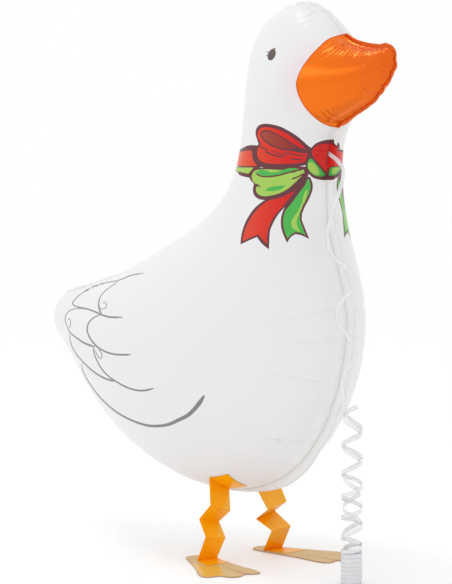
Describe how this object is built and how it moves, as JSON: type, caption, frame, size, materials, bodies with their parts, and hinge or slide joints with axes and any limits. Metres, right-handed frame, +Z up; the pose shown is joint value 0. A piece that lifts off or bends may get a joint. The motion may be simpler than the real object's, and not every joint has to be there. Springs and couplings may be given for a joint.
{
  "type": "walking duck foil balloon",
  "caption": "Inflated foil duck with an orange beak and a printed bow, standing on folded film legs with card feet, with a curling ribbon.",
  "frame": {"origin": "centre of the standing duck's footprint box, on the floor", "axes": "+X the way the beak points, +Y the duck's left side, +Z up"},
  "size_m": [0.7246, 0.2716, 0.7601],
  "materials": {
    "foil": "satin white foil, with a glossy orange print on the beak",
    "film": "smooth film",
    "card": "matt printed card",
    "ribbon": "milky curling ribbon"
  },
  "bodies": {
    "root": {"balloon": "foil", "leg_right": "film", "leg_left": "film", "foot_right": "card", "foot_left": "card", "ribbon_drop": "ribbon", "ribbon_curl": "ribbon", "ribbon_coil": "ribbon"}
  },
  "joints": []
}
